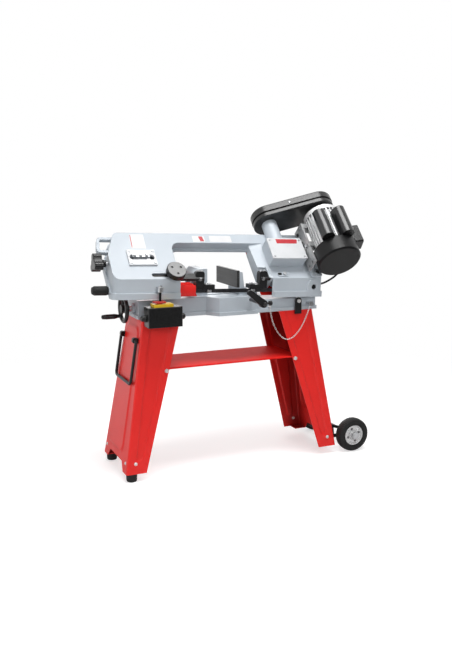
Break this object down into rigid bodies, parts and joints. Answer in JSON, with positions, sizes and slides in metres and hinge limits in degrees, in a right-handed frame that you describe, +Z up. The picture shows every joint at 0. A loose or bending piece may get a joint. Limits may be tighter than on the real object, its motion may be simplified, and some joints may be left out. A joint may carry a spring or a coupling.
{
  "type": "horizontal metal-cutting band saw",
  "caption": "Horizontal band saw for metal on a splayed sheet stand with two wheels: a hinged bow carries blade, wheels, motor and belt guard over a vise.",
  "frame": {"origin": "on the floor, under the middle of the machine's box", "axes": "+X along the machine from the tension end to the motor end, +Y from the front to the back, +Z up"},
  "size_m": [0.9768, 0.38, 0.9202],
  "materials": {
    "cast_grey": "semi-gloss hammered paint",
    "red_sheet": "gloss powder coat",
    "black_plastic": "moulded",
    "rubber": "matt",
    "tyre": "matt",
    "hub_grey": "moulded",
    "steel": "bright",
    "blade_steel": "dark",
    "black_steel": "satin black",
    "jaw_plate": "ground",
    "motor_alu": "cast",
    "white_plate": "gloss",
    "switch_yellow": "moulded",
    "switch_red": "moulded",
    "cable": "matt"
  },
  "bodies": {
    "base": {"left_leg": "red_sheet", "right_leg": "red_sheet", "shelf": "red_sheet", "rubber_feet": "rubber", "handle_eyes": "black_steel", "axle_bracket": "black_steel", "axle": "steel", "bed": "cast_grey", "fixed_jaw_plate": "jaw_plate", "fixed_jaw": "cast_grey", "switch_box": "black_plastic", "switch_base": "switch_yellow", "stop_rod": "steel", "lock_chain": "steel", "base_bolts": "steel", "bed_cable": "cable"},
    "front_wheel": {"front_tyre": "tyre", "front_hub": "hub_grey"},
    "rear_wheel": {"rear_tyre": "tyre", "rear_hub": "hub_grey"},
    "handle": {"carry_handle": "black_steel"},
    "jaw": {"moving_jaw": "cast_grey"},
    "screw": {"vise_screw": "steel", "handwheel": "black_steel"},
    "crank": {"crank_grip": "black_plastic"},
    "paddle": {"switch_flap": "switch_red"},
    "work_stop": {"stop_arm": "black_steel"},
    "strap": {"latch_strap": "black_steel"},
    "pin": {"lock_pin": "steel"},
    "bow": {"bow_frame": "cast_grey", "band_covers": "red_sheet", "tension_plate": "white_plate", "blade": "blade_steel", "right_guide": "black_steel", "lift_grip": "rubber", "gearbox_cover": "white_plate", "bow_bolts": "steel", "guard_base": "black_plastic", "guard_cover": "black_plastic", "motor_body": "motor_alu", "fan_cowl": "black_plastic", "motor_covers": "black_plastic", "motor_plate": "black_steel", "motor_cable": "cable", "drive_belt": "rubber"},
    "tension_slide": {"tension_block": "steel"},
    "tensioner": {"tension_screw": "steel", "tension_knob": "black_plastic"},
    "idler": {"idler_wheel": "cast_grey"},
    "drive": {"drive_wheel": "cast_grey", "drive_shaft": "steel"},
    "worm": {"worm_shaft": "steel", "worm_pulley": "motor_alu"},
    "rotor": {"motor_pulley": "motor_alu"},
    "guide_slide": {"left_guide": "black_steel"},
    "clamp_knob": {"guide_knob": "black_plastic"},
    "left_front_roller": {"left_front_roller": "steel"},
    "left_rear_roller": {"left_rear_roller": "steel"},
    "right_front_roller": {"right_front_roller": "steel"},
    "right_rear_roller": {"right_rear_roller": "steel"}
  },
  "joints": [
    {"name": "bow_lift", "type": "hinge", "parent": "base", "child": "bow", "pos_m": [0.28038, 0.024, 0.597], "axis": [0, 1, 0], "range_deg": [0, 80]},
    {"name": "drive_wheel_spin", "type": "hinge", "parent": "bow", "child": "drive", "pos_m": [0.20721, 0.0201, 0.65318], "axis": [0.0302, -0.7071, 0.7065], "continuous": true},
    {"name": "idler_wheel_spin", "type": "hinge", "parent": "tension_slide", "child": "idler", "pos_m": [-0.32081, 0.0201, 0.67577], "axis": [0.0302, -0.7071, 0.7065], "continuous": true},
    {"name": "worm_spin", "type": "hinge", "parent": "bow", "child": "worm", "pos_m": [0.17911, -0.02374, 0.69826], "axis": [0.0302, 0.7071, 0.7065], "continuous": true},
    {"name": "motor_spin", "type": "hinge", "parent": "bow", "child": "rotor", "pos_m": [0.35137, 0.00766, 0.82933], "axis": [0.0302, 0.7071, 0.7065], "continuous": true},
    {"name": "left_front_roller_spin", "type": "hinge", "parent": "guide_slide", "child": "left_front_roller", "pos_m": [-0.10079, -0.05308, 0.60124], "axis": [0.0427, 0, 0.9991], "continuous": true},
    {"name": "left_rear_roller_spin", "type": "hinge", "parent": "guide_slide", "child": "left_rear_roller", "pos_m": [-0.10079, -0.03683, 0.60124], "axis": [0.0427, 0, 0.9991], "continuous": true},
    {"name": "right_front_roller_spin", "type": "hinge", "parent": "bow", "child": "right_front_roller", "pos_m": [0.05806, -0.05308, 0.59445], "axis": [0.0427, 0, 0.9991], "continuous": true},
    {"name": "right_rear_roller_spin", "type": "hinge", "parent": "bow", "child": "right_rear_roller", "pos_m": [0.05806, -0.03683, 0.59445], "axis": [0.0427, 0, 0.9991], "continuous": true},
    {"name": "tension_knob_turn", "type": "hinge", "parent": "bow", "child": "tensioner", "pos_m": [-0.42586, 0.0003, 0.70008], "axis": [0.9991, 0, -0.0427], "range_deg": [0, 1801]},
    {"name": "tension_travel", "type": "slide", "parent": "bow", "child": "tension_slide", "axis": [0.9991, 0, -0.0427], "range_m": [0, 0.01]},
    {"name": "vise_screw_turn", "type": "hinge", "parent": "base", "child": "screw", "pos_m": [-0.22562, 0.024, 0.548], "axis": [1, 0, 0], "range_deg": [-5400, 8100]},
    {"name": "vise_jaw_travel", "type": "slide", "parent": "base", "child": "jaw", "axis": [1, 0, 0], "range_m": [-0.06, 0.09]},
    {"name": "crank_grip_spin", "type": "hinge", "parent": "screw", "child": "crank", "pos_m": [-0.37162, 0.05399, 0.52004], "axis": [1, 0, 0], "continuous": true},
    {"name": "guide_travel", "type": "slide", "parent": "bow", "child": "guide_slide", "axis": [0.9991, 0, -0.0427], "range_m": [-0.045, 0]},
    {"name": "guide_knob_turn", "type": "hinge", "parent": "guide_slide", "child": "clamp_knob", "pos_m": [-0.22332, -0.06051, 0.66169], "axis": [0.0302, -0.7071, 0.7065], "range_deg": [0, 360]},
    {"name": "front_wheel_spin", "type": "hinge", "parent": "base", "child": "front_wheel", "pos_m": [0.42838, -0.111, 0.06], "axis": [0, 1, 0], "continuous": true},
    {"name": "rear_wheel_spin", "type": "hinge", "parent": "base", "child": "rear_wheel", "pos_m": [0.42838, 0.159, 0.06], "axis": [0, 1, 0], "continuous": true},
    {"name": "carry_handle_swing", "type": "hinge", "parent": "base", "child": "handle", "pos_m": [-0.35612, 0.024, 0.45359], "axis": [0, 1, 0], "range_deg": [0, 95]},
    {"name": "work_stop_travel", "type": "slide", "parent": "base", "child": "work_stop", "axis": [0, 1, 0], "range_m": [-0.012, 0.075]},
    {"name": "latch_strap_swing", "type": "hinge", "parent": "base", "child": "strap", "pos_m": [0.22538, -0.068, 0.551], "axis": [0, 1, 0], "range_deg": [-40, 40]},
    {"name": "lock_pin_pull", "type": "slide", "parent": "base", "child": "pin", "axis": [0, -1, 0], "range_m": [0, 0.025]},
    {"name": "switch_paddle_press", "type": "slide", "parent": "base", "child": "paddle", "axis": [0, 0, -1], "range_m": [0, 0.003], "stiffness_N_per_m": 400, "springref_m": -0.002}
  ],
  "couplings": [
    {"joint": "idler_wheel_spin", "follows": "drive_wheel_spin", "ratio": 1},
    {"joint": "worm_spin", "follows": "drive_wheel_spin", "ratio": 22},
    {"joint": "motor_spin", "follows": "drive_wheel_spin", "ratio": 22},
    {"joint": "tension_knob_turn", "follows": "tension_travel", "rad_per_m": 3141.6},
    {"joint": "vise_jaw_travel", "follows": "vise_screw_turn", "m_per_rad": 0.00063662},
    {"joint": "left_front_roller_spin", "follows": "drive_wheel_spin", "ratio": -12.267},
    {"joint": "left_rear_roller_spin", "follows": "drive_wheel_spin", "ratio": 12.267},
    {"joint": "right_front_roller_spin", "follows": "drive_wheel_spin", "ratio": -12.267},
    {"joint": "right_rear_roller_spin", "follows": "drive_wheel_spin", "ratio": 12.267}
  ]
}
